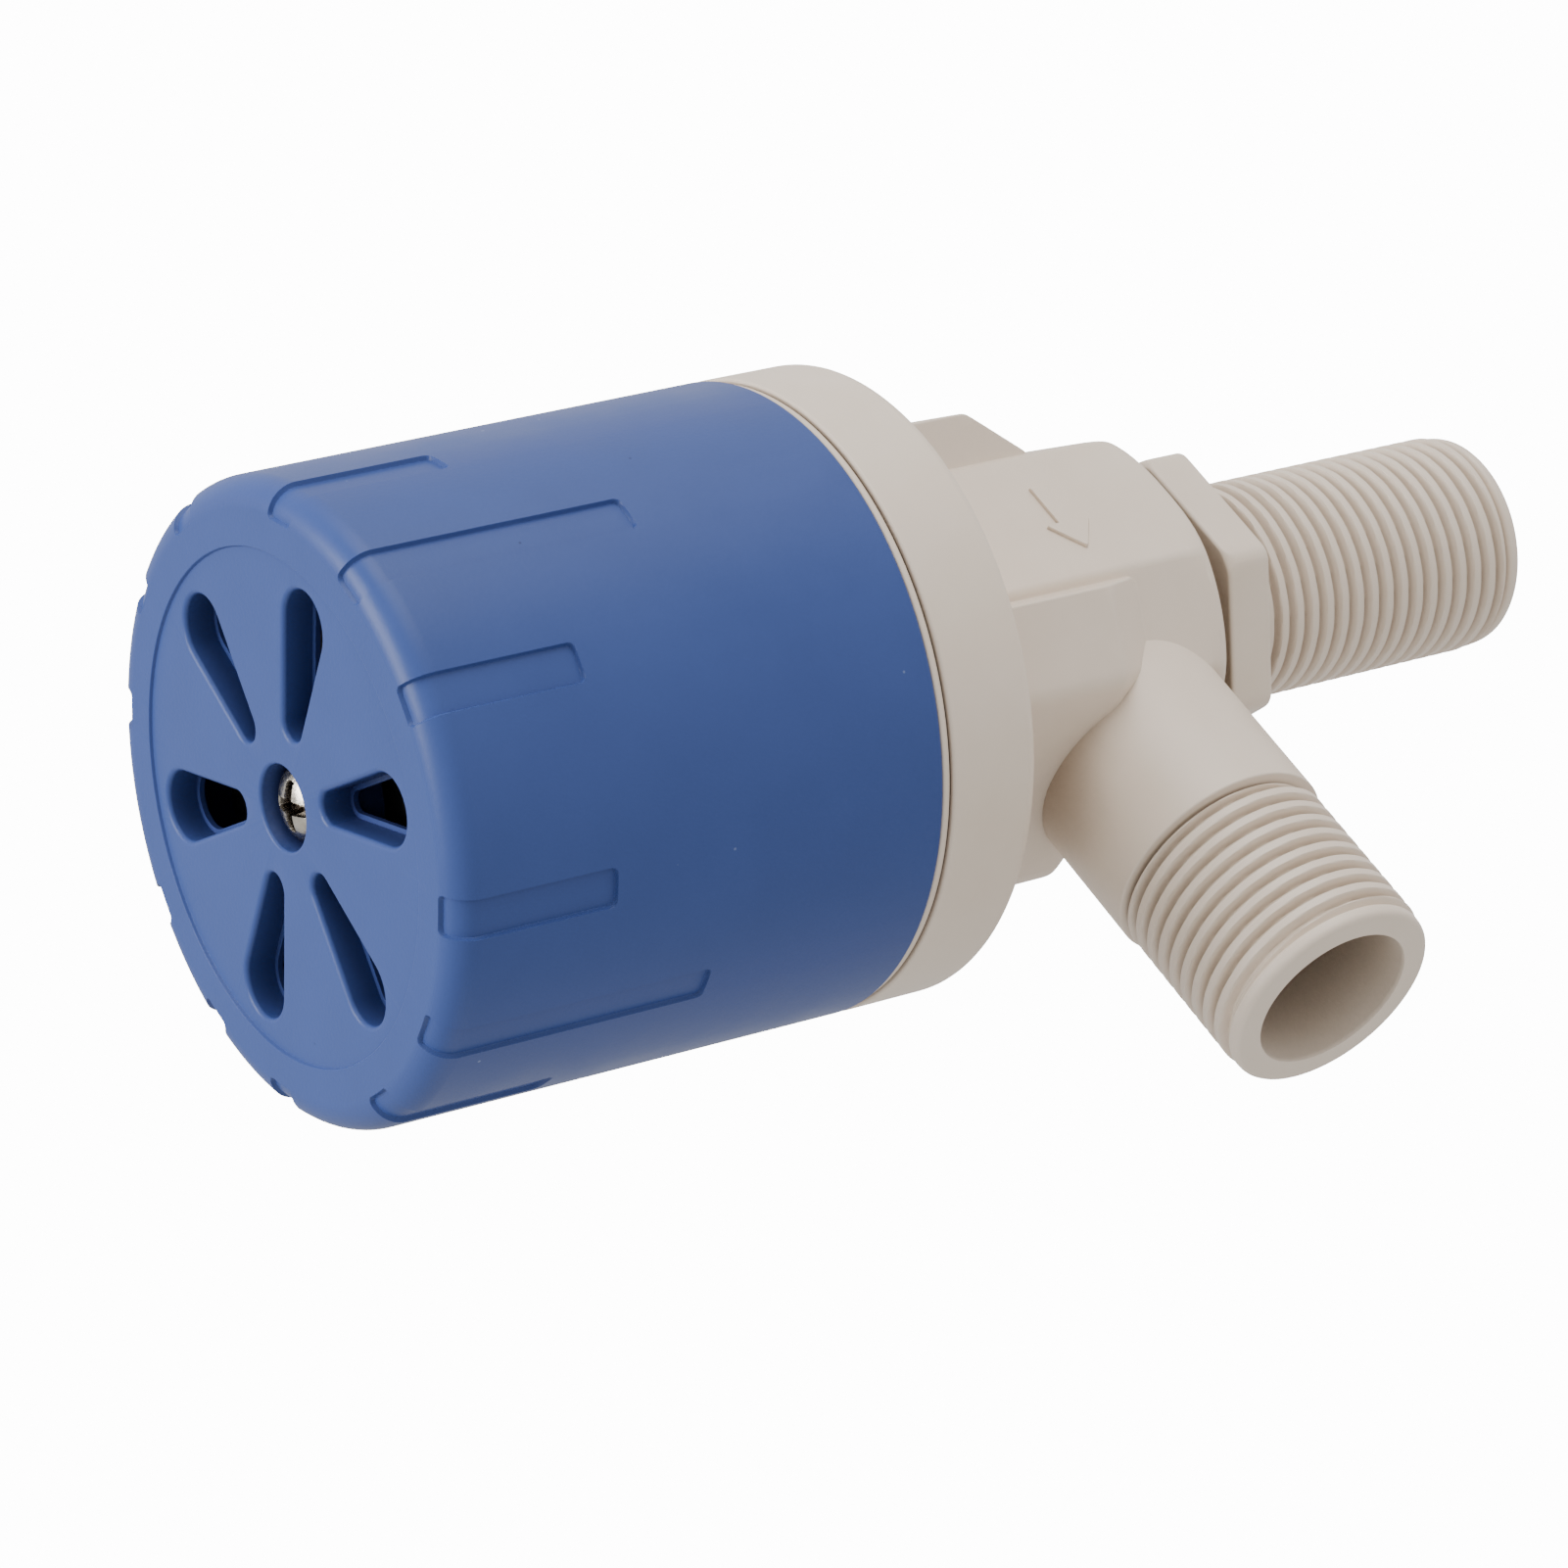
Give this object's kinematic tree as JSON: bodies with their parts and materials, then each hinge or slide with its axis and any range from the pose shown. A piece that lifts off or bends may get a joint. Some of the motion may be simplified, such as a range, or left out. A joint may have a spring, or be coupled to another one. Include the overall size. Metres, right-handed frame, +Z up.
{
  "type": "float valve",
  "caption": "Plastic float valve for a water tank: threaded inlet on top, threaded outlet at the side, pilot piston inside, and a float in a slotted cup-shaped shell below.",
  "frame": {"origin": "centre of the hexagon's upper face on the inlet fitting, where the pipe's nut stops", "axes": "+Z up along the inlet thread, as the valve hangs in use; -Y along the outlet"},
  "size_m": [0.0584, 0.0789, 0.132],
  "materials": {
    "body_nylon": "satin moulded nylon, warm pale grey-beige",
    "shell_blue": "satin moulded plastic, mid blue",
    "inner_acetal": "smooth moulded acetal, off-white",
    "float_black": "moulded plastic, black",
    "seal_rubber": "moulded rubber, black",
    "stainless_steel": "bright stainless steel"
  },
  "bodies": {
    "root": {"valve_body": "body_nylon", "inlet_fitting": "body_nylon", "pilot_cover": "body_nylon", "float_shell": "shell_blue", "inlet_o_ring": "seal_rubber", "sleeve_o_ring": "seal_rubber", "cover_gasket": "seal_rubber", "inlet_strainer": "inner_acetal", "piston_sleeve": "inner_acetal", "lever_pin": "stainless_steel", "cover_screw_1": "stainless_steel", "cover_screw_2": "stainless_steel", "cover_screw_3": "stainless_steel", "cover_screw_4": "stainless_steel", "shell_screw": "stainless_steel"},
    "piston": {"main_piston": "inner_acetal", "seat_disc": "seal_rubber", "disc_button": "inner_acetal", "piston_cup_seal": "seal_rubber", "return_spring": "stainless_steel"},
    "float": {"float_cup": "float_black", "float_lid": "float_black"},
    "lever": {"pilot_lever": "inner_acetal", "pilot_pad": "seal_rubber"}
  },
  "joints": [
    {"name": "float_slide", "type": "slide", "parent": "root", "child": "float", "axis": [0, 0, 1], "range_m": [0, 0.006]},
    {"name": "lever_pivot", "type": "hinge", "parent": "root", "child": "lever", "pos_m": [0.0065, 0.0135, -0.0537], "axis": [-1, 0, 0], "range_deg": [0, 12]},
    {"name": "piston_slide", "type": "slide", "parent": "root", "child": "piston", "axis": [0, 0, -1], "range_m": [0, 0.0045], "stiffness_N_per_m": 100, "springref_m": -0.008, "deforming": ["return_spring"]}
  ],
  "couplings": [
    {"joint": "lever_pivot", "follows": "float_slide", "rad_per_m": 34.9}
  ]
}
